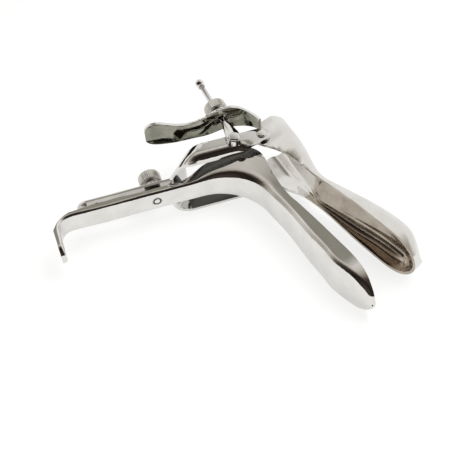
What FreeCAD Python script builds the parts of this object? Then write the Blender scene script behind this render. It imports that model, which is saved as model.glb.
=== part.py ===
import FreeCAD, Part
import math
import os
import Sketcher

V = FreeCAD.Vector

# A self-retaining bivalve speculum of polished steel, lying on its side.
# Model frame before it is laid down: X runs distally along the lower blade,
# Y from the lower to the upper blade, Z sideways to the thumb lever's side.
# The origin is the corner where the outer faces of blade and handle would meet.
# Handle frame: X up the handle, Y away from the blades, Z as above.
DIMENSIONS = {
    # whole instrument
    "sheet_thick": 1.7,
    "handle_angle": 108.0,
    "open_angle": 5.0,
    "roll": 2.17912,
    "pitch": 3.88476,
    "rest_x": -27.472,
    "rest_y": 36.871,
    "lift": 22.114,
    # lower blade, measured along its outer face
    "lower_reach": 122.0,
    "lower_half": 13.8,
    "lower_lean": 0.16,
    "lower_rim": 7.6,
    "tip_round": 20.0,
    "belly": 3.8,
    "crown": 0.7,
    "throat_radius": 34.0,
    "flare_half": 10.7,
    "flare_lean": 0.27,
    # handle and hook
    "handle_length": 109.0,
    "handle_half": 7.5,
    "flange_depth": 4.0,
    "hook_radius": 8.0,
    "hook_length": 18.0,
    # height adjustment
    "stud_place": 55.5,
    "stud_radius": 2.2,
    "stud_head": 3.2,
    "stud_head_tall": 0.9,
    "stud_top": 21.0,
    "spacer_radius": 5.0,
    "stem_near": 8.0,
    "stem_half": 6.5,
    "stem_end": 104.0,
    "slot_low": 88.0,
    "slot_high": 46.0,
    "slot_half": 2.6,
    "height_shoulder": 4.8,
    "height_shoulder_tall": 4.6,
    "height_head": 7.2,
    "height_head_tall": 7.0,
    # yoke hoop, measured in the handle frame
    "yoke_thick": 1.9,
    "hoop_half": 22.0,
    "hoop_foot": 46.0,
    "hoop_near": 4.0,
    "hoop_slant": 12.0,
    "hoop_corner": 14.0,
    "notch_half": 10.5,
    "arm_end": 5.3,
    # pivots of the upper blade, in the handle frame
    "pivot_up": 16.4,
    "pivot_out": 12.2,
    "pivot_radius": 1.6,
    "pivot_head": 3.0,
    "pivot_head_tall": 1.2,
    "ear_half": 19.6,
    "ear_radius": 5.4,
    # upper blade, in its own frame from the pivot
    "upper_reach": 123.5,
    "upper_rim": 6.2,
    # angle adjustment
    "swivel_up": -1.0,
    "swivel_out": 11.5,
    "swivel_radius": 1.3,
    "swivel_head": 3.6,
    "swivel_head_tall": 1.4,
    "rod_side": 24.1,
    "rod_tilt": 6.3,
    "rod_radius": 1.7,
    "rod_length": 52.0,
    "eye_radius": 4.2,
    "eye_neck": 16.0,
    "ball_radius": 2.5,
    "nut_place": 21.13,
    "angle_shoulder": 4.2,
    "angle_shoulder_tall": 4.6,
    "angle_head": 6.2,
    "angle_head_tall": 6.5,
    # thumb lever
    "lever_thick": 2.2,
    "lever_slot": 4.6,
}


def sheet_values(doc):
    sheet = doc.addObject("Spreadsheet::Sheet", "Dimensions")
    for row, (name, value) in enumerate(DIMENSIONS.items(), start=1):
        sheet.set(f"A{row}", name)
        sheet.set(f"B{row}", str(value))
        sheet.setAlias(f"B{row}", name)
    doc.recompute()
    return sheet


doc = FreeCAD.newDocument("speculum")
sheet = sheet_values(doc)


def size(name):
    return float(sheet.get(name))


class Size:
    """A length with the sheet expression that gives it."""

    def __init__(self, text, value):
        self.text = text
        self.value = value

    def joined(self, sign, other, value):
        return Size(f"({self.text} {sign} {other.text})", value)

    def __add__(self, other):
        other = as_size(other)
        return self.joined("+", other, self.value + other.value)

    def __sub__(self, other):
        other = as_size(other)
        return self.joined("-", other, self.value - other.value)

    def __mul__(self, other):
        other = as_size(other)
        return self.joined("*", other, self.value * other.value)

    def __neg__(self):
        return Size(f"(-1 * {self.text})", -self.value)


def as_size(value):
    if isinstance(value, Size):
        return value
    return Size(str(float(value)), float(value))


def dim(name):
    return Size(f"Dimensions.{name}", size(name))


def bind(thing, prop, length):
    length = as_size(length)
    setattr(thing, prop, length.value)
    if "Dimensions" in length.text:
        thing.setExpression(prop, length.text)


# Sketches and features

def new_body(label):
    name = "".join(word.capitalize() for word in label.split("_"))
    body = doc.addObject("PartDesign::Body", name)
    body.Label = label
    return body


def plane_of(body, role):
    for feature in body.Origin.OriginFeatures:
        if feature.Role == role:
            return feature
    raise ValueError(role)


def sketch_on(body, name, role, offset=0.0):
    sketch = body.newObject("Sketcher::SketchObject", name)
    sketch.AttachmentSupport = (plane_of(body, role), "")
    sketch.MapMode = "FlatFace"
    sketch.AttachmentOffset = FreeCAD.Placement(V(0, 0, offset), FreeCAD.Rotation())
    return sketch


def hold(sketch, kind, geometry, vertex, length):
    """Fixes one coordinate of a vertex to a sheet size."""
    length = as_size(length)
    if abs(length.value) < 1e-9:
        axis = -2 if kind == "DistanceX" else -1
        sketch.addConstraint(Sketcher.Constraint("PointOnObject", geometry, vertex, axis))
        return
    index = sketch.addConstraint(Sketcher.Constraint(kind, -1, 1, geometry, vertex, length.value))
    if "Dimensions" in length.text:
        sketch.setExpression(f"Constraints[{index}]", length.text)


def polygon(sketch, corners):
    """Closed outline whose corners are held at sheet sizes."""
    points = [V(as_size(x).value, as_size(y).value, 0) for x, y in corners]
    count = len(points)
    base = sketch.GeometryCount
    for index in range(count):
        sketch.addGeometry(Part.LineSegment(points[index], points[(index + 1) % count]), False)
    for index in range(count):
        following = base + (index + 1) % count
        sketch.addConstraint(Sketcher.Constraint("Coincident", base + index, 2, following, 1))
    for index, (x, y) in enumerate(corners):
        hold(sketch, "DistanceX", base + index, 1, x)
        hold(sketch, "DistanceY", base + index, 1, y)


def hoop(sketch, foot, top, side, radius):
    """Closed outline of a hoop: square at the top, both foot corners rounded."""
    inner = side - radius
    start = foot + radius
    runs = [((start, -side), (top, -side)), ((top, -side), (top, side)), ((top, side), (start, side)),
            ((foot, inner), (foot, -inner))]
    for index, run in enumerate(runs):
        points = [V(as_size(x).value, as_size(y).value, 0) for x, y in run]
        sketch.addGeometry(Part.LineSegment(points[0], points[1]), False)
        for vertex, (x, y) in enumerate(run, start=1):
            if index != 1:
                hold(sketch, "DistanceX", index, vertex, x)
                hold(sketch, "DistanceY", index, vertex, y)
    sketch.addConstraint(Sketcher.Constraint("Coincident", 0, 2, 1, 1))
    sketch.addConstraint(Sketcher.Constraint("Coincident", 1, 2, 2, 1))
    radius = as_size(radius)
    for turn, (before, after), side_sign in ((math.pi / 2, (2, 3), 1), (math.pi, (3, 0), -1)):
        centre = V(start.value, side_sign * inner.value, 0)
        round_corner = Part.ArcOfCircle(Part.Circle(centre, V(0, 0, 1), radius.value), turn, turn + math.pi / 2)
        number = sketch.addGeometry(round_corner, False)
        sketch.addConstraint(Sketcher.Constraint("Coincident", before, 2, number, 1))
        sketch.addConstraint(Sketcher.Constraint("Coincident", after, 1, number, 2))
        index = sketch.addConstraint(Sketcher.Constraint("Radius", number, radius.value))
        if "Dimensions" in radius.text:
            sketch.setExpression(f"Constraints[{index}]", radius.text)


def circle(sketch, x, y, radius):
    x, y, radius = as_size(x), as_size(y), as_size(radius)
    index = sketch.addGeometry(Part.Circle(V(x.value, y.value, 0), V(0, 0, 1), radius.value), False)
    hold(sketch, "DistanceX", index, 3, x)
    hold(sketch, "DistanceY", index, 3, y)
    number = sketch.addConstraint(Sketcher.Constraint("Radius", index, radius.value))
    if "Dimensions" in radius.text:
        sketch.setExpression(f"Constraints[{number}]", radius.text)


def pad(body, name, sketch, length, both_sides=False, reverse=False):
    feature = body.newObject("PartDesign::Pad", name)
    feature.Profile = sketch
    bind(feature, "Length", length)
    feature.SideType = "Symmetric" if both_sides else "One side"
    feature.Reversed = reverse
    doc.recompute()
    return feature


def pocket(body, name, sketch, length, both_sides=False, reverse=False):
    feature = body.newObject("PartDesign::Pocket", name)
    before = body.Shape.Volume
    feature.Profile = sketch
    bind(feature, "Length", length)
    feature.SideType = "Symmetric" if both_sides else "One side"
    feature.Reversed = reverse
    doc.recompute()
    if not body.Shape.Volume < before - 0.01:
        raise RuntimeError(f"{name} cuts nothing")
    return feature


def turned(body, name, sketch):
    """Full turn of a half profile about the sketch's upright axis."""
    feature = body.newObject("PartDesign::Revolution", name)
    feature.Profile = sketch
    feature.ReferenceAxis = (sketch, ["V_Axis"])
    feature.Angle = 360.0
    doc.recompute()
    return feature


def edges_where(feature, test):
    return [f"Edge{index}" for index, edge in enumerate(feature.Shape.Edges, start=1) if test(edge)]


def fillet(body, name, base, test, radius):
    names = edges_where(base, test)
    if not names:
        raise RuntimeError(f"{name} finds no edge")
    feature = body.newObject("PartDesign::Fillet", name)
    feature.Base = (base, names)
    bind(feature, "Radius", radius)
    doc.recompute()
    return feature


def chamfer(body, name, base, test, length):
    names = edges_where(base, test)
    if not names:
        raise RuntimeError(f"{name} finds no edge")
    feature = body.newObject("PartDesign::Chamfer", name)
    feature.Base = (base, names)
    bind(feature, "Size", length)
    doc.recompute()
    return feature


def is_circle(edge, radius, height=None):
    curve = edge.Curve
    if not isinstance(curve, Part.Circle) or abs(curve.Radius - radius) > 0.01:
        return False
    return height is None or abs(curve.Center.z - height) < 0.01


def runs_along(edge, direction):
    if not isinstance(edge.Curve, Part.Line) or edge.Length < 1e-6:
        return False
    start, end = edge.Vertexes[0].Point, edge.Vertexes[-1].Point
    return abs(abs((end - start).normalize().dot(direction)) - 1) < 1e-6


# Placements

def lying():
    """Rests the instrument on its side, centred over the origin, its lowest points at height 0."""
    turn = FreeCAD.Rotation(V(0, 1, 0), size("pitch")) * FreeCAD.Rotation(V(1, 0, 0), size("roll"))
    return FreeCAD.Placement(V(size("rest_x"), size("rest_y"), size("lift")), turn)


def handle_frame():
    return FreeCAD.Placement(V(0, 0, 0), FreeCAD.Rotation(V(0, 0, 1), 180 - size("handle_angle")))


def upper_frame():
    pivot = handle_frame().multVec(V(size("pivot_up"), size("pivot_out"), 0))
    return FreeCAD.Placement(pivot, FreeCAD.Rotation(V(0, 0, 1), size("open_angle")))


# Pressed sheet: sections across a spine, lofted, hollowed and trimmed

def blend(stations, where):
    """Smooth value between (distance, value) stations, without overshoot."""
    steps = [(high[1] - low[1]) / (high[0] - low[0]) for low, high in zip(stations, stations[1:])]
    slopes = [0.0]
    for before, after in zip(steps, steps[1:]):
        slopes.append(2 * before * after / (before + after) if before * after > 0 else 0.0)
    slopes.append(0.0)
    if where <= stations[0][0]:
        return stations[0][1]
    for index, ((start, low), (end, high)) in enumerate(zip(stations, stations[1:])):
        if where <= end:
            length = end - start
            u = (where - start) / length
            rise = (3 - 2 * u) * u * u
            lean = (1 - u) * slopes[index] - u * slopes[index + 1]
            return low + (high - low) * rise + length * u * (1 - u) * lean
    return stations[-1][1]


def channel_wire(frame, half, lean, corner, bottom, top, crown):
    """Closed section of a trough: floor at bottom, walls leaning out up to top."""
    tall = top - bottom
    slope = math.atan(lean)
    back = corner * math.tan((math.pi / 2 - slope) / 2)
    floor_half = half - back
    wall = V(math.sin(slope), math.cos(slope), 0)
    foot = V(half, 0, 0) + wall * back
    centre = V(floor_half, corner, 0)
    middle = math.radians(-45) + slope / -2
    arc_middle = centre + V(math.cos(middle), math.sin(middle), 0) * corner
    right = [V(floor_half, 0, 0), arc_middle, foot, V(half + lean * tall, tall, 0)]
    left = [V(-p.x, p.y, 0) for p in right]
    shift = V(0, bottom, 0)
    right = [frame(p + shift) for p in right]
    left = [frame(p + shift) for p in left]
    low = frame(V(0, -crown, 0) + shift)
    edges = [
        Part.Arc(left[0], low, right[0]).toShape(),
        Part.Arc(right[0], right[1], right[2]).toShape(),
        Part.makeLine(right[2], right[3]),
        Part.makeLine(right[3], left[3]),
        Part.makeLine(left[3], left[2]),
        Part.Arc(left[2], left[1], left[0]).toShape(),
    ]
    return Part.Wire(edges)


def spine_frame(point, along_x, normal):
    """Maps section coordinates (across, up) to space at one spine point."""
    across = V(0, 0, 1)

    def place(p):
        return point + across * p.x + normal * p.y
    return place


def outline(runs, height):
    """Closed wire at one height: each run is a straight line or a smooth curve through its points."""
    edges = []
    for index, run in enumerate(runs):
        following = runs[(index + 1) % len(runs)][0]
        points = [V(x, y, height) for x, y in list(run) + [following]]
        if len(points) == 2:
            edges.append(Part.makeLine(points[0], points[1]))
        else:
            curve = Part.BSplineCurve()
            curve.interpolate(points)
            edges.append(curve.toShape())
    return Part.Wire(edges)


def prism(runs, low, high):
    """Side outline carried from one side to the other."""
    return Part.Face(outline(runs, low)).extrude(V(0, 0, high - low))


def rounded_tip(distance, reach):
    """Share of the full width at a distance from a rounded end."""
    if distance >= reach:
        return 1.0
    return math.sqrt(max(1 - ((reach - distance) / reach) ** 2, 0.0))


# Lower blade with handle and hook

def lower_spine(distance):
    """Point, tangent and inward normal on the outer face, measured from the tip."""
    radius = size("throat_radius")
    turn = math.radians(180 - size("handle_angle"))
    tangent = radius * math.tan(turn / 2)
    straight = size("lower_reach") - tangent
    throat = radius * turn
    handle = size("handle_length") - tangent
    hook = size("hook_radius") * math.pi / 2
    if distance <= straight:
        return V(size("lower_reach") - distance, 0, 0), V(0, 1, 0)
    distance -= straight
    if distance <= throat:
        angle = distance / radius
        centre = V(tangent, -radius, 0)
        normal = V(-math.sin(angle), math.cos(angle), 0)
        return centre + normal * radius, normal
    distance -= throat
    down = V(-math.sin(math.pi / 2 - turn), -math.cos(math.pi / 2 - turn), 0)
    out = V(-math.sin(turn), math.cos(turn), 0)
    start = down * tangent
    if distance <= handle:
        return start + down * distance, out
    distance -= handle
    bend = size("hook_radius")
    corner = start + down * handle
    centre = corner - out * bend
    if distance <= hook:
        angle = distance / bend
        normal = out * math.cos(angle) + down * math.sin(angle)
        return centre + normal * bend, normal
    return centre + down * bend - out * (distance - hook), down


def lower_marks():
    radius = size("throat_radius")
    turn = math.radians(180 - size("handle_angle"))
    tangent = radius * math.tan(turn / 2)
    blade = size("lower_reach") - tangent
    throat = blade + radius * turn
    handle = throat + size("handle_length") - tangent
    end = handle + size("hook_radius") * math.pi / 2 + size("hook_length")
    return blade, throat, handle, end


def lower_section(distance, inset):
    blade, throat, handle, end = lower_marks()
    middle = (blade + throat) / 2
    half = blend([(30, size("lower_half") + 0.6), (blade - 22, size("lower_half") - 1.6),
                  (middle - 6, size("flare_half")), (throat + 8, size("handle_half")), (end, size("handle_half"))],
                 distance)
    lean = blend([(30, size("lower_lean") - 0.04), (blade - 30, size("lower_lean")), (middle, size("flare_lean")),
                  (middle + 14, size("flare_lean")), (throat + 14, 0.0), (end, 0.0)], distance)
    corner = blend([(blade - 20, 4.0), (middle, 6.0), (throat + 10, 2.0), (end, 2.0)], distance)
    crown = blend([(blade, size("crown")), (throat, 0.06), (end, 0.06)], distance)
    top = 30.0
    if distance > blade - 10:
        top = blend([(blade - 10, 30.0), (throat + 10, 16.0), (handle, 9.0), (end, 9.0)], distance)
    share = rounded_tip(distance - inset, size("tip_round"))
    belly = size("belly")
    rise = blend([(0, 0.7), (5, -0.2 * belly), (10, -0.37 * belly), (19, -0.66 * belly), (32, -belly),
                  (47, -0.68 * belly), (56, -0.5 * belly), (66, -0.32 * belly), (80, 0.0)], distance)
    if distance > handle:
        share = rounded_tip(end - inset - distance, 8.0)
    share = max(share, 0.08)
    slope = math.atan(lean)
    wall = inset * (1 / math.cos(slope) - math.tan(slope))
    half = max((half - wall) * share, 0.6)
    corner = max(min(corner - 0.8 * inset, half * 0.7), 0.3)
    point, normal = lower_spine(distance)
    frame = spine_frame(point, None, normal)
    return channel_wire(frame, half, lean * share, corner, rise + inset, top + inset, crown)


def lower_loft(inset):
    blade, throat, handle, end = lower_marks()
    tip = [0.0, 1.2, 4.0, 8.5, 14.0, 20.0]
    body = [32.0, 46.0, 62.0, 80.0, blade]
    bend = [blade + (throat - blade) * k / 5 for k in range(1, 6)]
    grip = [throat + 5, throat + 11, throat + 19, throat + 30, (throat + handle) / 2, handle]
    curl = [handle + (end - handle) * k for k in (0.14, 0.28, 0.42, 0.6, 0.8, 0.92, 0.98, 1.0)]
    places = tip + body + bend + grip + curl
    if inset:
        places = [place + inset for place in tip] + body + bend + grip + [place - inset * 0.98 for place in curl[4:]]
        places = sorted(set(places + curl[:4]))
    return Part.makeLoft([lower_section(place, inset) for place in places], True, False)


def handle_point(up, out):
    return handle_frame().multVec(V(up, out, 0))


def lower_trim():
    """Everything beyond the rim, as seen from the side."""
    rim = size("lower_rim")
    depth = size("flange_depth")
    reach = size("lower_reach")
    grip = -size("handle_length")
    hook = size("hook_radius")
    slim = 4.6
    tail = -(hook + size("hook_length"))
    far = 60.0

    def at(up, out):
        p = handle_point(up, out)
        return p.x, p.y

    diagonal = math.sqrt(0.5) * (hook + depth - 0.9)
    runs = [
        [(reach + 20, rim - 7.6), (reach, rim - 5.2), (reach - 6.5, rim - 3.6), (reach - 12, rim - 2.3),
         (reach - 22, rim - 0.9), (reach - 40, rim - 0.4), (reach - 60, rim)],
        [(44, rim), (24, rim + 1.2), (9, 12.0), (2, 13.2), (-6.5, 10.5), (-11.8, 4.6), at(-6, 12.4),
         at(-14, 12.0), at(-21, 10.7), at(-30, 7.2), at(-38, depth + 0.4)],
        [at(-48, depth)],
        [at(grip, depth), at(grip - diagonal, -hook + diagonal)],
        [at(grip - hook - slim, -hook)],
        [at(grip - hook - slim + 1.2, tail - 2)],
        [at(grip - 60, tail - 2)],
        [at(grip - 60, far)],
        [at(far, far)],
        [(reach + 20, far)],
    ]
    return prism(runs, -far, far)


def lower_blade():
    """Trough, throat, channelled handle and hook in one pressed sheet; the handle's web is flat outside."""
    shell = lower_loft(0.0).cut(lower_loft(size("sheet_thick")))
    shell = shell.cut(lower_trim())
    flat_end = size("handle_length") - 10
    flat = Part.makeBox(flat_end - 30, 2, 20, V(-flat_end, -2, -10))
    flat.Placement = handle_frame()
    return shell.cut(flat)


# Upper blade with its ears

def upper_section(distance, inset):
    """Section at a distance from the tip; the trough opens towards the lower blade."""
    reach = size("upper_reach")
    place = reach - distance
    roof = blend([(-14.0, 26.0), (-4.0, 24.4), (20.0, 18.6), (44.0, 11.4), (59.0, 13.8), (72.0, 16.2), (84.0, 18.2),
                  (94.0, 19.2), (105.0, 19.5), (reach, 18.0)], place)
    half = blend([(6.0, size("ear_half")), (40.0, 13.6), (84.0, 16.8), (reach, 16.8)], place)
    corner = blend([(4.0, 9.0), (40.0, 5.0), (80.0, 8.0), (reach, 8.0)], place)
    crown = blend([(0.0, 1.6), (40.0, 1.0), (reach, 1.0)], place)
    share = rounded_tip(distance - inset, size("tip_round"))
    drop = 5.8 * (1 - min(distance, size("tip_round")) / size("tip_round")) ** 2
    half = max((half - inset) * max(share, 0.08), 0.6)
    corner = max(min(corner - 0.8 * inset, half * 0.7), 0.3)
    foot = -9.0 - inset
    frame = spine_frame(V(place, 0, 0), None, V(0, -1, 0))
    return channel_wire(frame, half, 0.0, corner, drop + inset - roof, -foot, crown)


def upper_loft(inset):
    reach = size("upper_reach")
    tip = [0.0, 1.2, 4.0, 8.5, 14.0, 20.0]
    body = [reach * k / 10 for k in (2.5, 3.5, 4.5, 5.5, 6.5, 7.5, 8.4, 9.2, 10, 10.8)]
    places = [place + inset for place in tip] + body
    if inset:
        places.append(places[-1] + 2)
    return Part.makeLoft([upper_section(place, inset) for place in places], True, False)


def upper_trim():
    """Everything outside the side outline of blade and ears."""
    rim = size("upper_rim")
    reach = size("upper_reach")
    ear = size("ear_radius")
    far = 60.0
    runs = [
        [(reach + 4, rim + 1.4), (reach - 10, rim + 0.3), (reach - 30, rim)],
        [(40, rim), (24, rim - 1.8), (14, 1.0), (8, -2.4), (3.8, -0.86 * ear), (0.0, -ear), (-3.8, -0.7 * ear),
         (-ear, 0.0), (-6.8, 4.0), (-9.8, 8.0), (-10.8, 12.0), (-9.4, 17.0), (-6.5, 21.0)],
        [(-4.0, 29.0)],
        [(-4.0, far)],
        [(-far, far)],
        [(-far, -far)],
        [(reach + 4, -far)],
    ]
    return prism(runs, -far, far)


def upper_blade():
    shell = upper_loft(0.0).cut(upper_loft(size("sheet_thick")))
    shell = shell.cut(upper_trim())
    hole = Part.makeCylinder(size("pivot_radius") + 0.05, 60, V(0, 0, -30), V(0, 0, 1))
    return shell.cut(hole)


def pressed(label, shape, place):
    name = "".join(word.capitalize() for word in label.split("_"))
    feature = doc.addObject("Part::Feature", name)
    feature.Label = label
    feature.Shape = shape.Solids[0] if len(shape.Solids) == 1 else shape
    feature.Placement = place
    return feature


# Yoke

def yoke():
    """Sheet bent into a slotted stem, a slanted foot and two arms; drawn in the handle frame."""
    body = new_body("yoke")
    half = dim("hoop_half")
    wall = dim("yoke_thick")
    near = dim("hoop_near")
    far = dim("pivot_out") + dim("arm_end")
    top = dim("pivot_up") + dim("arm_end")
    slope = size("hoop_slant") / (far - near).value

    def block(name, kind, side, foot, upper, radius):
        low = sketch_on(body, name + "Near", "XZ_Plane", -near.value)
        hoop(low, foot, upper, side, radius)
        high = sketch_on(body, name + "Far", "XZ_Plane", -far.value)
        hoop(high, foot + dim("hoop_slant"), upper, side, radius)
        loft = body.newObject(kind, name)
        loft.Profile = low
        loft.Sections = [high]
        loft.Ruled = True
        doc.recompute()

    block("HoopOutside", "PartDesign::AdditiveLoft", half, -dim("hoop_foot"), top, dim("hoop_corner"))
    block("HoopInside", "PartDesign::SubtractiveLoft", half - wall, wall - dim("hoop_foot"), top + 5,
          dim("hoop_corner") - wall)

    taper = sketch_on(body, "ArmTaper", "XY_Plane")
    arm_near = dim("pivot_out") - dim("arm_end")
    polygon(taper, [(2, near - 1), (2, near), (14, arm_near), (top + 5, arm_near), (top + 5, near - 1)])
    cut = pocket(body, "ArmTaperCut", taper, 80, both_sides=True)
    fillet(body, "ArmEnds", cut, lambda edge: runs_along(edge, V(0, 0, 1))
           and abs(edge.CenterOfMass.x - top.value) < 0.01, dim("arm_end") - 0.1)
    notch = sketch_on(body, "HandleNotch", "XZ_Plane", -(near.value - 1))
    polygon(notch, [(-60, -dim("notch_half")), (-20, -dim("notch_half")), (-20, dim("notch_half")),
                    (-60, dim("notch_half"))])
    pocket(body, "HandleNotchCut", notch, dim("stem_near") - near + 1)

    stem = sketch_on(body, "Stem", "XZ_Plane", -size("stem_near"))
    root = (dim("stem_near") - near) * slope - dim("hoop_foot") + wall - 0.2
    polygon(stem, [(-dim("stem_end"), -dim("stem_half")), (root, -dim("stem_half")), (root, dim("stem_half")),
                   (-dim("stem_end"), dim("stem_half"))])
    plate = pad(body, "StemPlate", stem, wall, reverse=True)
    end = fillet(body, "StemEnd", plate, lambda edge: runs_along(edge, V(0, 1, 0))
                 and edge.CenterOfMass.x < -size("stem_end") + 0.1, dim("stem_half") - 0.1)
    fillet(body, "StemBend", end, lambda edge: runs_along(edge, V(0, 0, 1))
           and abs(edge.CenterOfMass.y - (dim("stem_near") + wall).value) < 0.01
           and abs(edge.CenterOfMass.x - (root - wall * (1 - slope) + 0.2).value) < 0.3, 3)
    slot = sketch_on(body, "Slot", "XZ_Plane", -(size("stem_near") - 1))
    polygon(slot, [(-dim("slot_low"), -dim("slot_half")), (-dim("slot_high"), -dim("slot_half")),
                   (-dim("slot_high"), dim("slot_half")), (-dim("slot_low"), dim("slot_half"))])
    cut = pocket(body, "SlotCut", slot, wall + 2)
    fillet(body, "SlotEnds", cut, lambda edge: runs_along(edge, V(0, 1, 0))
           and abs(abs(edge.CenterOfMass.z) - size("slot_half")) < 0.01, dim("slot_half") - 0.1)
    holes = sketch_on(body, "PivotHoles", "XY_Plane")
    circle(holes, dim("pivot_up"), dim("pivot_out"), dim("pivot_radius"))
    pocket(body, "PivotHolesCut", holes, 80, both_sides=True)
    seat = sketch_on(body, "SwivelHole", "XY_Plane")
    circle(seat, dim("swivel_up"), dim("swivel_out"), dim("swivel_radius"))
    pocket(body, "SwivelHoleCut", seat, 40, reverse=True)
    return body


# Thumb lever

def thumb_lever():
    """Curved strip in the handle frame, narrower behind the thumb spoon, ending beside the ear."""
    line = [(-52.0, 33.0), (-42.0, 31.8), (-33.0, 29.1), (-24.0, 28.0), (-12.0, 29.0), (-2.0, 31.3), (7.0, 29.6),
            (14.0, 25.0), (18.0, 19.5)]
    half = size("lever_thick") / 2
    near, far = [], []
    for index, (up, out) in enumerate(line):
        before = line[max(index - 1, 0)]
        after = line[min(index + 1, len(line) - 1)]
        run = V(after[0] - before[0], after[1] - before[1], 0).normalize()
        near.append((up + run.y * half, out - run.x * half))
        far.append((up - run.y * half, out + run.x * half))
    edge = size("ear_half") - 0.2
    strip = prism([near[:-1], [near[-1]], far[:0:-1], [far[0]]], 10, 40)
    plan = [
        [(24.0, edge)],
        [(17.0, edge), (10.0, 17.6), (-2.0, 16.2), (-14.0, 17.0), (-26.0, 17.8), (-36.0, 16.6), (-44.0, 15.8),
         (-50.0, 17.4), (-53.0, 23.2), (-50.0, 29.0), (-44.0, 30.5), (-36.0, 29.6), (-26.0, 28.4), (-14.0, 29.2),
         (-2.0, 30.4), (9.0, 30.0), (17.0, 28.0)],
        [(24.0, 24.0)],
    ]
    flat = Part.Face(outline(plan, 0.0)).extrude(V(0, 0, -60))
    flat.rotate(V(0, 0, 0), V(1, 0, 0), 90)
    rod = size("rod_radius")
    wide = size("lever_slot") / 2
    centre = size("swivel_up") - math.tan(math.radians(size("rod_tilt"))) * (31.3 - size("swivel_out"))
    slot = Part.makeBox(2 * size("lever_slot"), 30, 2 * wide, V(centre - size("lever_slot"), 18, size("rod_side") - wide))
    slot = slot.makeFillet(wide - 0.05, [edge for edge in slot.Edges if runs_along(edge, V(0, 1, 0))])
    return strip.common(flat).cut(slot)


# Turned pieces

def turned_piece(label, profile):
    """Piece of revolution about its own Z, from (radius, height) corners."""
    body = new_body(label)
    sketch = sketch_on(body, "Profile", "XZ_Plane")
    polygon(sketch, profile)
    turned(body, "Turned", sketch)
    return body


def nut(label, bore, shoulder, shoulder_tall, head, head_tall):
    body = turned_piece(label, [(bore, 0), (shoulder, 0), (shoulder, shoulder_tall), (head, shoulder_tall),
                                (head, shoulder_tall + head_tall), (bore, shoulder_tall + head_tall)])
    bevel = chamfer(body, "HeadBevels", body.Tip, lambda edge: is_circle(edge, head.value), 0.5)
    chamfer(body, "BoreBevel", bevel, lambda edge: is_circle(edge, bore.value), 0.3)
    return body


def pin(label, radius, length, head_radius, head_tall):
    """Riveted pin: the head's underside is at height 0 and the shank runs down."""
    body = turned_piece(label, [(0, -length), (radius, -length), (radius, 0), (head_radius, 0),
                                (head_radius, head_tall), (0, head_tall)])
    fillet(body, "Dome", body.Tip, lambda edge: is_circle(edge, head_radius.value, head_tall.value),
           head_tall * 0.8)
    return body


def height_stud():
    head = dim("stud_head")
    flush = dim("stud_head_tall")
    body = turned_piece("height_stud", [(0, 0), (head, 0), (head, flush), (dim("stud_radius"), flush),
                                        (dim("stud_radius"), dim("stud_top")), (0, dim("stud_top"))])
    chamfer(body, "Tip", body.Tip, lambda edge: is_circle(edge, size("stud_radius"), size("stud_top")), 0.6)
    return body


def angle_rod():
    """Rod with a flat eye: X runs along the rod from the swivel axis, Z is sideways."""
    body = new_body("angle_rod")
    radius = dim("rod_radius")
    eye = sketch_on(body, "Eye", "XY_Plane")
    circle(eye, 0, 0, dim("eye_radius"))
    pad(body, "EyeDisc", eye, radius * 2, both_sides=True)
    neck = sketch_on(body, "Neck", "XY_Plane")
    polygon(neck, [(0, -dim("eye_radius")), (4, -dim("eye_radius") + 0.15), (dim("eye_neck"), -radius),
                   (dim("eye_neck"), radius), (4, dim("eye_radius") - 0.15), (0, dim("eye_radius"))])
    pad(body, "NeckTaper", neck, radius * 2, both_sides=True)
    bar = sketch_on(body, "Bar", "YZ_Plane", size("eye_neck") - 3)
    circle(bar, 0, 0, radius)
    pad(body, "BarLength", bar, dim("rod_length") - dim("eye_neck") + 3)
    hole = sketch_on(body, "PinHole", "XY_Plane")
    circle(hole, 0, 0, dim("swivel_radius") + 0.05)
    pocket(body, "PinHoleCut", hole, 20, both_sides=True)
    return body


def end_ball():
    """Ball with a short collar, riveted over the end of the rod; Z runs outward."""
    radius = dim("ball_radius")
    body = turned_piece("rod_end_ball", [(0, 0), (dim("rod_radius") + 0.5, 0), (dim("rod_radius") + 0.5, 1.0),
                                         (dim("rod_radius") - 0.1, 1.0), (dim("rod_radius") - 0.1, 1.8),
                                         (0, 1.8)])
    ball = body.newObject("PartDesign::AdditiveSphere", "Ball")
    bind(ball, "Radius", radius)
    ball.Placement = FreeCAD.Placement(V(0, 0, 1.6 + radius.value), FreeCAD.Rotation())
    doc.recompute()
    return body


# Assembly

def in_handle(up, out, side, turn=None):
    return handle_frame() * FreeCAD.Placement(V(up, out, side), turn or FreeCAD.Rotation())


def rod_direction():
    tilt = math.radians(size("rod_tilt"))
    return V(-math.sin(tilt), math.cos(tilt), 0)


def rod_placement(distance, facing):
    """On the rod's line, at a distance from its swivel."""
    direction = rod_direction()
    place = V(size("swivel_up"), size("swivel_out"), size("rod_side")) + direction * distance
    return handle_frame() * FreeCAD.Placement(place, FreeCAD.Rotation(facing, direction))


def outward_place():
    """Turns a piece's own Z to point away from the blades."""
    return FreeCAD.Rotation(V(0, 0, 1), V(0, 1, 0))


def stud_hole():
    """Flush seat of the stud in the handle's web."""
    gap = 0.04
    shape = Part.makeCylinder(size("stud_head") + gap, size("stud_head_tall") + 1, V(0, 0, -1))
    return shape.fuse(Part.makeCylinder(size("stud_radius"), 10, V(0, 0, -1)))


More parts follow.
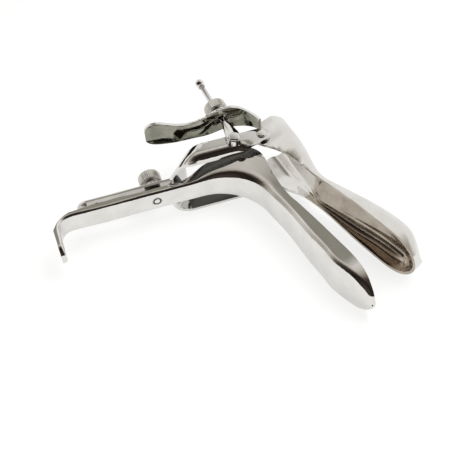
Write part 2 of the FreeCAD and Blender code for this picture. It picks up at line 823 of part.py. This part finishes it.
def build():
    stud_place = in_handle(-size("stud_place"), 0, 0, outward_place())
    hole = stud_hole()
    hole.Placement = stud_place
    outer = size("hoop_half")
    parts = [pressed("lower_blade", lower_blade().cut(hole), FreeCAD.Placement())]
    ears = pressed("upper_blade", upper_blade(), upper_frame())
    parts.append(ears)
    lever = thumb_lever()
    lever.Placement = handle_frame()
    parts.append(pressed("thumb_lever", lever.cut(ears.Shape), FreeCAD.Placement()))
    frame = yoke()
    frame.Placement = handle_frame()
    parts.append(frame)
    grip = dim("hoop_half") - dim("ear_half") + dim("sheet_thick")
    for label, side in (("pivot_pin_lever_side", 1), ("pivot_pin_plain_side", -1)):
        pivot = pin(label, dim("pivot_radius"), grip, dim("pivot_head"), dim("pivot_head_tall"))
        facing = FreeCAD.Rotation() if side > 0 else FreeCAD.Rotation(V(1, 0, 0), 180)
        pivot.Placement = in_handle(size("pivot_up"), size("pivot_out"), side * outer, facing)
        parts.append(pivot)
    under = dim("rod_side") + dim("rod_radius") + 0.1
    swivel = pin("swivel_pin", dim("swivel_radius"), under - dim("hoop_half") + dim("yoke_thick"),
                 dim("swivel_head"), dim("swivel_head_tall"))
    swivel.Placement = in_handle(size("swivel_up"), size("swivel_out"), under.value)
    parts.append(swivel)
    rod = angle_rod()
    rod.Placement = rod_placement(0, V(1, 0, 0))
    parts.append(rod)
    ball = end_ball()
    ball.Placement = rod_placement(size("rod_length"), V(0, 0, 1))
    parts.append(ball)
    angle_nut = nut("angle_nut", dim("rod_radius") + 0.05, dim("angle_shoulder"), dim("angle_shoulder_tall"),
                    dim("angle_head"), dim("angle_head_tall"))
    angle_nut.Placement = rod_placement(size("nut_place"), V(0, 0, 1))
    parts.append(angle_nut)
    stud = height_stud()
    stud.Placement = stud_place
    parts.append(stud)
    height_nut = nut("height_nut", dim("stud_radius") + 0.05, dim("height_shoulder"), dim("height_shoulder_tall"),
                     dim("height_head"), dim("height_head_tall"))
    seat = (dim("stem_near") + dim("yoke_thick") + 0.1).value
    height_nut.Placement = in_handle(-size("stud_place"), seat, 0, outward_place())
    parts.append(height_nut)
    web = dim("sheet_thick") + 0.01
    spacer = turned_piece("height_spacer", [(dim("stud_radius") + 0.02, web), (dim("spacer_radius"), web),
                                            (dim("spacer_radius"), dim("stem_near") - 0.1),
                                            (dim("stud_radius") + 0.02, dim("stem_near") - 0.1)])
    spacer.Placement = stud_place
    parts.append(spacer)
    for part in parts:
        part.Placement = lying() * part.Placement
    doc.recompute()
    return parts


def check(parts):
    for thing in doc.Objects:
        bad = [state for state in thing.State if state in ("Invalid", "Error")]
        if bad:
            raise RuntimeError(f"{thing.Name}: {bad}")
    for part in parts:
        if part.Shape.isNull() or not part.Shape.isValid() or len(part.Shape.Solids) != 1:
            raise RuntimeError(f"{part.Label} is not one sound solid")


def main():
    parts = build()
    check(parts)
    os.makedirs("parts", exist_ok=True)
    for part in parts:
        part.Shape.exportStep(f"parts/{part.Label}.step")
        print(part.Label, round(part.Shape.Volume, 1), "mm3")


main()
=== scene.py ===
import math
from collections import namedtuple

import bmesh
import bpy
from mathutils import Euler, Matrix, Vector


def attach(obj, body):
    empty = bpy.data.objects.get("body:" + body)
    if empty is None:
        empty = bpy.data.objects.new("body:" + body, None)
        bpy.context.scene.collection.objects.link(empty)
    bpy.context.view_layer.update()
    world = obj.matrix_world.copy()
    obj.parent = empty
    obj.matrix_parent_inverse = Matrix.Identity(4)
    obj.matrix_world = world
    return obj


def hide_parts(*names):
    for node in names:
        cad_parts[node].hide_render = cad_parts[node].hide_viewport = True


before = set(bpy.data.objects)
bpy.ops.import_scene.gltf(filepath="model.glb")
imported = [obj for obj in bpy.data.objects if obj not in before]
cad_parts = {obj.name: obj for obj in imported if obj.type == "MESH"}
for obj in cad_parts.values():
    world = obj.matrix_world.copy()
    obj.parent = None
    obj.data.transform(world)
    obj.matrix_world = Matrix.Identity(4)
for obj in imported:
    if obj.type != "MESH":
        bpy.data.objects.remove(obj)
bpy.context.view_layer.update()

MM = 0.001

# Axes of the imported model, and points of it in millimetres.
ROD_AXIS = Vector((-0.9764505, 0.2026406, 0.0740353))
STUD_AXIS = Vector((-0.9480752, 0.3087935, 0.076157))
SIDE_AXIS = Vector((0.0677009, -0.0380237, 0.9969808))
UP_AXIS = Vector((0.310757, 0.9503687, 0.0151437))
HANDLE_CORNER = Vector((-27.472, 36.871, 22.114))
ANGLE_NUT_SEAT = Vector((-57.6864, 42.8372, 48.5663))
STUD_SEAT = Vector((-44.719, -15.8745, 21.2735))

# Along the rod: its length from the swivel, and the place of the angle nut's seat.
ROD_LENGTH, ANGLE_NUT_PLACE = 52.0, 21.13
ROD_END = ANGLE_NUT_SEAT + ROD_AXIS * (ROD_LENGTH - ANGLE_NUT_PLACE)
# Along the stud: from its head past the spacer and the yoke's stem to the height nut's seat.
HEIGHT_NUT_PLACE = 10.0
HEIGHT_NUT_SEAT = STUD_SEAT + STUD_AXIS * HEIGHT_NUT_PLACE

# The handle's length down to the hook, the radius of the hook's bend and the thickness of the sheet.
HANDLE_LENGTH, HOOK_BEND, SHEET = 109.0, 8.0, 1.7

# Directions from the instrument to the dark side of the room and to the grey patch of its ceiling.
DARK_SIDE = (0.68, -0.66, 0.30)
GREY_CEILING = (-0.51, 0.14, 0.85)

# A Mix node's colour sockets go by number, because their names repeat.
COLOUR_A, COLOUR_B, COLOUR_OUT = 6, 7, 2


# Colours and nodes

def linear(code):
    """Turns an sRGB hex colour into linear red, green, blue and full alpha."""
    values = [int(code[i:i + 2], 16) / 255 for i in (1, 3, 5)]
    return tuple(v / 12.92 if v <= 0.04045 else ((v + 0.055) / 1.055) ** 2.4 for v in values) + (1.0,)


def add_node(tree, kind, settings=None, links=None):
    """Adds one node: settings are its properties or unlinked inputs, links are the sockets that feed it."""
    node = tree.nodes.new(kind)
    for key, value in (settings or {}).items():
        if isinstance(key, str) and hasattr(node, key):
            setattr(node, key, value)
        else:
            node.inputs[key].default_value = value
    for key, socket in (links or {}).items():
        tree.links.new(socket, node.inputs[key])
    return node


def new_material(name):
    material = bpy.data.materials.new(name)
    material.use_nodes = True
    material.node_tree.nodes.clear()
    return material, material.node_tree


def finish_material(tree, shader):
    add_node(tree, "ShaderNodeOutputMaterial", links={"Surface": shader})


def mirror_polished_stainless(name, light, dark):
    """Stainless steel, buffed to a mirror: it shows the room sharply, dulled a little by handling
    marks about a centimetre across and by hair-fine buffing lines."""
    material, tree = new_material(name)
    place = add_node(tree, "ShaderNodeTexCoord").outputs["Object"]
    # handling marks: 12 mm across, so 1 / 0.012 m
    marks = add_node(tree, "ShaderNodeTexNoise", {"Scale": 85.0, "Detail": 4.0, "Roughness": 0.6},
                     {"Vector": place}).outputs["Fac"]
    rough = add_node(tree, "ShaderNodeMapRange",
                     {"From Min": 0.35, "From Max": 0.75, "To Min": 0.045, "To Max": 0.12}, {"Value": marks})
    # buffing lines run across the blades: 0.25 mm apart and some 5 mm long, drawn coarser than real ones
    stretch = add_node(tree, "ShaderNodeMapping", {"Scale": (4000.0, 4000.0, 200.0)}, {"Vector": place})
    lines = add_node(tree, "ShaderNodeTexNoise", {"Scale": 1.0, "Detail": 2.0},
                     {"Vector": stretch.outputs["Vector"]})
    bump = add_node(tree, "ShaderNodeBump", {"Strength": 0.05, "Distance": 0.00001},
                    {"Height": lines.outputs["Fac"]})
    tint = add_node(tree, "ShaderNodeMapRange", {"From Min": 0.3, "From Max": 0.7}, {"Value": marks})
    colour = add_node(tree, "ShaderNodeMix",
                      {"data_type": "RGBA", COLOUR_A: linear(light), COLOUR_B: linear(dark)},
                      {"Factor": tint.outputs["Result"]})
    steel = add_node(tree, "ShaderNodeBsdfPrincipled", {"Metallic": 1.0},
                     {"Base Color": colour.outputs[COLOUR_OUT], "Roughness": rough.outputs["Result"],
                      "Normal": bump.outputs["Normal"]})
    finish_material(tree, steel.outputs["BSDF"])
    return material


def satin_knurled_stainless():
    """Stainless steel as the knurling wheel leaves it: bright crests, grey valleys, no mirror."""
    material, tree = new_material("satin_knurled_stainless")
    place = add_node(tree, "ShaderNodeTexCoord").outputs["Object"]
    # grit of the rolled surface: 0.4 mm
    grit = add_node(tree, "ShaderNodeTexNoise", {"Scale": 2500.0, "Detail": 3.0},
                    {"Vector": place}).outputs["Fac"]
    rough = add_node(tree, "ShaderNodeMapRange", {"To Min": 0.2, "To Max": 0.38}, {"Value": grit})
    bump = add_node(tree, "ShaderNodeBump", {"Strength": 0.25, "Distance": 0.00004}, {"Height": grit})
    colour = add_node(tree, "ShaderNodeMix",
                      {"data_type": "RGBA", COLOUR_A: linear("#c4c2bb"), COLOUR_B: linear("#e0ded8")},
                      {"Factor": grit})
    steel = add_node(tree, "ShaderNodeBsdfPrincipled", {"Metallic": 1.0},
                     {"Base Color": colour.outputs[COLOUR_OUT], "Roughness": rough.outputs["Result"],
                      "Normal": bump.outputs["Normal"]})
    finish_material(tree, steel.outputs["BSDF"])
    return material


def dull_steel_and_painted_shade():
    """Unpolished turned steel of the spacer: dark grey, with fine tool marks. It also paints shade inside the
    yoke's arms and in the stud's ring groove.
    """
    material, tree = new_material("dull_steel_and_painted_shade")
    place = add_node(tree, "ShaderNodeTexCoord").outputs["Object"]
    # tool marks: 0.3 mm
    marks = add_node(tree, "ShaderNodeTexNoise", {"Scale": 3300.0, "Detail": 2.0},
                     {"Vector": place}).outputs["Fac"]
    rough = add_node(tree, "ShaderNodeMapRange", {"To Min": 0.35, "To Max": 0.5}, {"Value": marks})
    colour = add_node(tree, "ShaderNodeMix",
                      {"data_type": "RGBA", COLOUR_A: linear("#565552"), COLOUR_B: linear("#6e6d6a")},
                      {"Factor": marks})
    steel = add_node(tree, "ShaderNodeBsdfPrincipled", {"Metallic": 1.0},
                     {"Base Color": colour.outputs[COLOUR_OUT], "Roughness": rough.outputs["Result"]})
    finish_material(tree, steel.outputs["BSDF"])
    return material


# The handle's own frame: up the handle, out from the blades and sideways to the lever, in millimetres.

InHandle = namedtuple("InHandle", "up out side")


def along_handle(vector):
    return InHandle(vector.dot(UP_AXIS), vector.dot(STUD_AXIS), vector.dot(SIDE_AXIS))


def in_handle(point):
    """Turns a point in metres into its place in the handle's frame."""
    return along_handle(point / MM - HANDLE_CORNER)


def from_handle(place):
    """Turns a place in the handle's frame back into a point in metres."""
    return (HANDLE_CORNER + UP_AXIS * place.up + STUD_AXIS * place.out + SIDE_AXIS * place.side) * MM


def fade(value, start, end):
    """Smooth step from 1 at start to 0 at end."""
    share = min(max((value - start) / (end - start), 0.0), 1.0)
    return 1 - share * share * (3 - 2 * share)


# Forms that move the points of a polished copy

def roll_arm_edge(place):
    """The yoke's upper arm is rolled in along the edge that faces the blades, in a bend of 5.5 mm radius.
    The roll fades out below the rivets and at the corner of the hoop."""
    bend, start, plain_half = 5.5, 11.5, 12.0
    strength = fade(place.up, -1.0, 9.0) * fade(-place.up, 24.0, 40.0)
    if place.out >= start or place.side <= plain_half or not strength:
        return place
    radius = bend / strength
    angle = (start - place.out) / radius
    return InHandle(place.up, start - radius * math.sin(angle), place.side - radius * (1 - math.cos(angle)))


def dish_lever(place):
    """The lever is turned to face up a little and crowned across, except where it is brazed to the ear."""
    middle, half_width = 23.5, 7.2
    turn, turned_about, crown, narrowing = 0.25, 18.0, 0.35, 0.06
    free = fade(place.up, 8.0, 17.0)
    across = (place.side - middle) / half_width
    side = middle + (place.side - middle) * (1 - narrowing * free)
    dip = turn * (turned_about - side) + crown * max(1 - across * across, 0.0)
    return InHandle(place.up, place.out - free * dip, side)


def slim_hook(place):
    """The handle's flanges run out to almost nothing round the bend of the hook and rise again on its tail."""
    run_out, before_bend, on_tail = 14.0, 0.65, 0.75
    past, below = -HANDLE_LENGTH - place.up, place.out + HOOK_BEND
    if past < -run_out:
        return place
    if past < 0:
        depth, keep = place.out, 1 - (1 - before_bend) * fade(-past, 0.0, run_out)
    elif below < 0:
        depth, keep = past - HOOK_BEND, on_tail
    else:
        turn = math.atan2(past, below) / (math.pi / 2)
        depth = math.hypot(past, below) - HOOK_BEND
        keep = before_bend - 0.5 * math.sin(math.pi * turn) + (on_tail - before_bend) * turn
    if depth <= SHEET:
        return place
    less = (depth - SHEET) * (1 - keep)
    if past < 0:
        return InHandle(place.up, place.out - less, place.side)
    if below < 0:
        return InHandle(place.up + less, place.out, place.side)
    share = (depth + HOOK_BEND - less) / (depth + HOOK_BEND)
    return InHandle(-HANDLE_LENGTH - past * share, below * share - HOOK_BEND, place.side)


# Faces given painted shade and painted dark reflection, told by where they face, from -1 to 1, and by where
# they are in the handle's frame

def inward(facing, place):
    """How squarely a face looks at the middle plane of the instrument."""
    return facing.side * -math.copysign(1, place.side)


def inside_of_arms(facing, place):
    arms_begin, arms_end, squarely = 12, -34, 0.7
    return abs(place.side) > arms_begin and place.up > arms_end and inward(facing, place) > squarely


def inside_of_trough(facing, place):
    mouth, leaning_in, facing_down = -16, 0.35, -0.55
    return place.out < mouth and (inward(facing, place) > leaning_in or facing.up < facing_down)


def under_the_lever(facing, place):
    ear, facing_in = 16.5, -0.45
    return facing.out < facing_in and place.side > ear


def inside_of_groove(_, place):
    seat, depth, inner, outer = in_handle(STUD_SEAT * MM), 0.8, 1.8, 2.75
    from_centre = math.hypot(place.up - seat.up, place.side - seat.side)
    return place.out < seat.out + depth and inner < from_centre < outer


def darker_inside(piece, material, is_inside):
    """Gives the faces inside a darker steel: painted reflection of a dark room, and painted shade in hollows
    and between parts.
    """
    piece.data.materials.append(material)
    for face in piece.data.polygons:
        if is_inside(along_handle(face.normal), in_handle(face.center)):
            face.material_index = 1


# Pieces

def place_piece(name, mesh_data, node, body, material):
    piece = bpy.data.objects.new(name, mesh_data)
    bpy.context.scene.collection.objects.link(piece)
    mesh_data.materials.clear()
    mesh_data.materials.append(material)
    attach(piece, body)
    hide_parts(node)
    return piece


def smooth_mesh(mesh_data, sharp_angle):
    for face in mesh_data.polygons:
        face.use_smooth = True
    mesh_data.set_sharp_from_angle(angle=math.radians(sharp_angle))


def pressed_steel(name, node, body, edge=0.0, cuts=(), form=None):
    """A polished copy of a pressed or milled node: joined triangles, smooth shading and edges softened by
    edge millimetres. The sheet is divided at the cuts, (axis, places in millimetres), before form moves
    its points."""
    sharp_angle, merge, sliver, on_cut = 35, 2e-6, 1e-6, 1e-7
    mesh_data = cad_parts[node].data.copy()
    bm = bmesh.new()
    bm.from_mesh(mesh_data)
    bmesh.ops.remove_doubles(bm, verts=bm.verts, dist=merge)
    bmesh.ops.dissolve_degenerate(bm, edges=bm.edges, dist=sliver)
    for axis, places in cuts:
        for place in places:
            bmesh.ops.bisect_plane(bm, geom=bm.verts[:] + bm.edges[:] + bm.faces[:], dist=on_cut,
                                   plane_co=(HANDLE_CORNER + axis * place) * MM, plane_no=axis)
    if form:
        bmesh.ops.triangulate(bm, faces=bm.faces)
        for vert in bm.verts:
            vert.co = from_handle(form(in_handle(vert.co)))
    bm.to_mesh(mesh_data)
    bm.free()
    mesh_data.name = name
    smooth_mesh(mesh_data, sharp_angle)
    piece = place_piece(name, mesh_data, node, body, MIRROR)
    if edge:
        bevel = piece.modifiers.new("SoftEdges", "BEVEL")
        bevel.width = edge * MM
        bevel.segments = 2
        bevel.limit_method = "ANGLE"
        bevel.angle_limit = math.radians(sharp_angle)
        bevel.harden_normals = True
    return piece


def turned(profile, steps):
    """Spins a half profile of (radius, height) in millimetres about the upright axis."""
    bm = bmesh.new()
    points = [bm.verts.new((radius * MM, 0, height * MM)) for radius, height in profile]
    edges = [bm.edges.new(pair) for pair in zip(points, points[1:])]
    bmesh.ops.spin(bm, geom=points + edges, cent=(0, 0, 0), axis=(0, 0, 1), angle=2 * math.pi, steps=steps,
                   use_merge=True)
    bmesh.ops.remove_doubles(bm, verts=bm.verts, dist=1e-7)
    return bm


def knurl(bm, radius, depth, low, high, teeth):
    """Draws every second column of the rim in, between two heights."""
    share = (radius - depth) / radius
    for vert in bm.verts:
        flat = math.hypot(vert.co.x, vert.co.y)
        if abs(flat - radius * MM) < 1e-6 and low * MM < vert.co.z < high * MM:
            column = round(math.atan2(vert.co.y, vert.co.x) / (math.pi / teeth))
            if column % 2:
                vert.co.x *= share
                vert.co.y *= share


def seat_turned(name, bm, node, body, seat, axis, material):
    """Moves a turned piece from the origin to its seat, in millimetres, with its upright axis along axis."""
    turn = axis.to_track_quat("Z", "Y").to_matrix().to_4x4()
    bmesh.ops.transform(bm, matrix=Matrix.Translation(seat * MM) @ turn, verts=bm.verts)
    bmesh.ops.recalc_face_normals(bm, faces=bm.faces)
    mesh_data = bpy.data.meshes.new(name)
    bm.to_mesh(mesh_data)
    bm.free()
    smooth_mesh(mesh_data, sharp_angle=30)
    return place_piece(name, mesh_data, node, body, material)


def knurled_nut(name, node, body, seat, axis, bore, shoulder, head, teeth):
    """Round nut with a bore, and a turned shoulder and a straight-knurled head of (radius, height) each."""
    shoulder, low = shoulder
    head, tall = head
    top = low + tall
    knurl_depth = 0.5
    profile = [(bore + 0.3, 0), (shoulder - 0.35, 0), (shoulder - 0.1, 0.1), (shoulder, 0.35),
               (shoulder, low - 0.3), (shoulder + 0.25, low), (head - 0.7, low), (head - 0.35, low + 0.2),
               (head, low + 0.6), (head, top - 0.7), (head - 0.3, top - 0.25), (head - 0.75, top - 0.05),
               (bore + 1.2, top), (bore + 0.3, top - 0.05), (bore, top - 0.35), (bore, 0.3), (bore + 0.3, 0)]
    bm = turned(profile, teeth * 2)
    knurl(bm, head, knurl_depth, low, top, teeth)
    seat_turned(name, bm, node, body, seat, axis, SATIN)


# Half profile of the rod's end, from the end of the rod: collar, waist, then the ball.
BALL_RADIUS, BALL_PLACE = 2.9, 4.0
BALL_PROFILE = [(0, 0), (2.1, 0), (2.3, 0.2), (2.3, 0.9), (2.1, 1.1), (1.75, 1.2), (1.7, 1.5)]
BALL_PROFILE += [(BALL_RADIUS * math.sin(math.radians(angle)),
                  BALL_PLACE - BALL_RADIUS * math.cos(math.radians(angle))) for angle in range(36, 180, 12)]
BALL_PROFILE += [(0, BALL_PLACE + BALL_RADIUS)]

# Half profile of the stud: punched centre, ring groove and broken rim in its flush head, then the shank.
STUD_PROFILE = [(0, 0.55), (0.45, 0.4), (0.95, 0.12), (1.4, 0.02), (1.75, 0.0), (1.95, 0.3), (2.15, 0.6),
                (2.45, 0.6), (2.6, 0.3), (2.75, 0.03), (2.95, 0.05), (3.2, 0.35), (3.2, 0.9), (2.2, 0.9),
                (2.2, 20.5), (1.7, 21.0), (0, 21.0)]


# Studio

def studio():
    """Pale paper floor that keeps the shadow. It fades to white for the lens and less so in mirrors, and
    mirrors show it end in a dark room on the lens's side."""
    bm = bmesh.new()
    bmesh.ops.create_grid(bm, x_segments=1, y_segments=1, size=4.0)
    mesh_data = bpy.data.meshes.new("floor")
    bm.to_mesh(mesh_data)
    bm.free()
    floor = bpy.data.objects.new("floor", mesh_data)
    bpy.context.scene.collection.objects.link(floor)
    # how far the paper fades to white, how much of that mirrors show, and a white that makes up for lit paper
    # being greyer
    fading, mirrored_share, white = 0.6, 0.75, 1.17
    material, tree = new_material("white_paper_floor")
    path = add_node(tree, "ShaderNodeLightPath")
    place = add_node(tree, "ShaderNodeTexCoord").outputs["Object"]
    in_mirrors = add_node(tree, "ShaderNodeMath", {"operation": "MULTIPLY", 1: mirrored_share},
                          {0: path.outputs["Is Glossy Ray"]})
    seen = add_node(tree, "ShaderNodeMath", {"operation": "MAXIMUM"},
                    {0: path.outputs["Is Camera Ray"], 1: in_mirrors.outputs["Value"]})
    share = add_node(tree, "ShaderNodeMath", {"operation": "MULTIPLY", 1: fading}, {0: seen.outputs["Value"]})
    paper = add_node(tree, "ShaderNodeBsdfDiffuse", {"Color": linear("#f2f1ef")})
    glow = add_node(tree, "ShaderNodeEmission", {"Color": linear("#ffffff"), "Strength": white})
    faded = add_node(tree, "ShaderNodeMixShader", links={
        0: share.outputs["Value"], 1: paper.outputs["BSDF"], 2: glow.outputs["Emission"]})
    # the paper ends between 0.28 m and 0.55 m from the instrument
    ahead = add_node(tree, "ShaderNodeVectorMath", {"operation": "DOT_PRODUCT", 1: (0.69, -0.72, 0.0)},
                     {0: place})
    edge = add_node(tree, "ShaderNodeMapRange", {"From Min": 0.28, "From Max": 0.55},
                    {"Value": ahead.outputs["Value"]})
    past_edge = add_node(tree, "ShaderNodeMath", {"operation": "MULTIPLY"},
                         {0: edge.outputs["Result"], 1: path.outputs["Is Glossy Ray"]})
    dark = add_node(tree, "ShaderNodeEmission", {"Color": linear("#37302a"), "Strength": 1.0})
    whole = add_node(tree, "ShaderNodeMixShader", links={
        0: past_edge.outputs["Value"], 1: faded.outputs["Shader"], 2: dark.outputs["Emission"]})
    finish_material(tree, whole.outputs["Shader"])
    mesh_data.materials.append(material)


def room():
    """White surroundings for the lens. Mirrors show a white room that is dark on the side the lens looks
    from and has a grey patch on its ceiling."""
    world = bpy.data.worlds.new("studio_room")
    bpy.context.scene.world = world
    world.use_nodes = True
    tree = world.node_tree
    tree.nodes.clear()
    path = add_node(tree, "ShaderNodeLightPath")
    way = add_node(tree, "ShaderNodeTexCoord").outputs["Generated"]
    aside = add_node(tree, "ShaderNodeVectorMath", {"operation": "DOT_PRODUCT", 1: DARK_SIDE}, {0: way})
    near = add_node(tree, "ShaderNodeMapRange", {"From Min": -1.0, "From Max": 1.0},
                    {"Value": aside.outputs["Value"]})
    walls = add_node(tree, "ShaderNodeValToRGB", links={"Fac": near.outputs["Result"]})
    stops = [(0.0, "#ffffff"), (0.46, "#f3f1ee"), (0.55, "#d5d1cb"), (0.64, "#a39c93"), (0.72, "#4e463f"),
             (0.82, "#221e1b"), (0.92, "#2f2925"), (1.0, "#453c35")]
    band = walls.color_ramp
    while len(band.elements) < len(stops):
        band.elements.new(0.5)
    for element, (where, code) in zip(band.elements, stops):
        element.position = where
        element.color = linear(code)
    above = add_node(tree, "ShaderNodeVectorMath", {"operation": "DOT_PRODUCT", 1: GREY_CEILING}, {0: way})
    # the patch is full within 8 degrees of its direction and gone at 16
    patch = add_node(tree, "ShaderNodeMapRange", {"From Min": 0.96, "From Max": 0.99},
                     {"Value": above.outputs["Value"]})
    shown = add_node(tree, "ShaderNodeMix", {"data_type": "RGBA", COLOUR_B: linear("#96938a")},
                     {"Factor": patch.outputs["Result"], COLOUR_A: walls.outputs["Color"]})
    dim = add_node(tree, "ShaderNodeBackground", {"Color": linear("#ffffff"), "Strength": 0.4})
    white = add_node(tree, "ShaderNodeBackground", {"Color": linear("#ffffff"), "Strength": 1.0})
    mirrored = add_node(tree, "ShaderNodeBackground", {"Strength": 1.0},
                        {"Color": shown.outputs[COLOUR_OUT]})
    plain = add_node(tree, "ShaderNodeMixShader", links={
        0: path.outputs["Is Camera Ray"], 1: dim.outputs["Background"], 2: white.outputs["Background"]})
    whole = add_node(tree, "ShaderNodeMixShader", links={
        0: path.outputs["Is Glossy Ray"], 1: plain.outputs["Shader"], 2: mirrored.outputs["Background"]})
    add_node(tree, "ShaderNodeOutputWorld", links={"Surface": whole.outputs["Shader"]})


def softbox(name, place, width, power):
    """Square lamp aimed at the instrument. Mirrors don't show it."""
    data = bpy.data.lights.new(name, "AREA")
    data.shape = "SQUARE"
    data.size = width
    data.energy = power
    light = bpy.data.objects.new(name, data)
    light.location = place
    light.rotation_euler = (-Vector(place)).to_track_quat("-Z", "Y").to_euler()
    light.visible_glossy = False
    bpy.context.scene.collection.objects.link(light)


def camera():
    """Camera at the photograph's viewing angle, as fitted to it."""
    data = bpy.data.cameras.new("view")
    data.sensor_width = 36.0
    data.sensor_fit = "HORIZONTAL"
    data.lens = 77.727
    view = bpy.data.objects.new("view", data)
    view.location = (0.3425, -0.2065, 0.43943)
    view.rotation_euler = Euler([math.radians(angle) for angle in (43.8987, 3.3261, 54.9256)], "XYZ")
    bpy.context.scene.collection.objects.link(view)
    bpy.context.scene.camera = view


MIRROR = mirror_polished_stainless("mirror_polished_stainless", "#e6e5e2", "#dcdad6")
# the same mirror steel made darker: painted dark reflection under the thumb lever
PAINTED_DARK_UNDERSIDE = mirror_polished_stainless("painted_dark_reflection_under_lever", "#a3a296", "#717165")
# the same mirror steel made darker: painted dark reflection inside the upper blade's trough
PAINTED_DARK_TROUGH = mirror_polished_stainless("painted_dark_reflection_in_trough", "#c8beb2", "#a59a8d")
SATIN = satin_knurled_stainless()
DULL_STEEL_AND_PAINTED_SHADE = dull_steel_and_painted_shade()

camera()
studio()
room()
softbox("overhead_softbox", (0.1, 0.3, 0.9), width=0.7, power=5.0)
softbox("front_softbox", (0.5, -0.6, 0.7), width=0.6, power=3.0)
bpy.context.scene.view_settings.view_transform = "Standard"

for node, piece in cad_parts.items():
    piece.data.materials.clear()
    piece.data.materials.append(DULL_STEEL_AND_PAINTED_SHADE if node == "height_spacer" else MIRROR)

pressed_steel("polished_lower_blade", "lower_blade", "handle_side", edge=0.4, form=slim_hook)
upper_blade = pressed_steel("polished_upper_blade", "upper_blade", "upper_side", edge=0.4)
# painted dark reflection: the inside of the upper blade's trough gets darker steel
darker_inside(upper_blade, PAINTED_DARK_TROUGH, inside_of_trough)
thumb_lever = pressed_steel("polished_thumb_lever", "thumb_lever", "upper_side", edge=0.5, form=dish_lever,
                            cuts=[(SIDE_AXIS, range(17, 31)), (UP_AXIS, range(-50, 20, 4))])
# painted dark reflection: the underside of the thumb lever gets darker steel
darker_inside(thumb_lever, PAINTED_DARK_UNDERSIDE, under_the_lever)
yoke = pressed_steel("polished_yoke", "yoke", "yoke_side", edge=0.5, form=roll_arm_edge,
                     cuts=[(STUD_AXIS, (5, 6, 7, 8, 9, 10, 11, 11.5)), (UP_AXIS, range(-40, 12, 4))])
# painted shade: the inner faces of the yoke's arms get the spacer's dark steel
darker_inside(yoke, DULL_STEEL_AND_PAINTED_SHADE, inside_of_arms)
pressed_steel("polished_rod", "angle_rod", "rod_side")
seat_turned("riveted_ball", turned(BALL_PROFILE, 48), "rod_end_ball", "rod_side", ROD_END, ROD_AXIS, MIRROR)
for pin in ("pivot_pin_lever_side", "pivot_pin_plain_side", "swivel_pin"):
    pressed_steel("polished_" + pin, pin, "yoke_side")
stud = seat_turned("riveted_stud", turned(STUD_PROFILE, 64), "height_stud", "handle_side", STUD_SEAT, STUD_AXIS,
                   MIRROR)
# painted shade: the ring groove in the stud's head gets the spacer's dark steel
darker_inside(stud, DULL_STEEL_AND_PAINTED_SHADE, inside_of_groove)
knurled_nut("knurled_angle_nut", "angle_nut", "angle_nut_side", ANGLE_NUT_SEAT, ROD_AXIS,
            bore=1.75, shoulder=(4.8, 4.6), head=(7.1, 6.5), teeth=36)
knurled_nut("knurled_height_nut", "height_nut", "height_nut_side", HEIGHT_NUT_SEAT, STUD_AXIS,
            bore=2.25, shoulder=(4.8, 4.6), head=(7.2, 7.0), teeth=38)
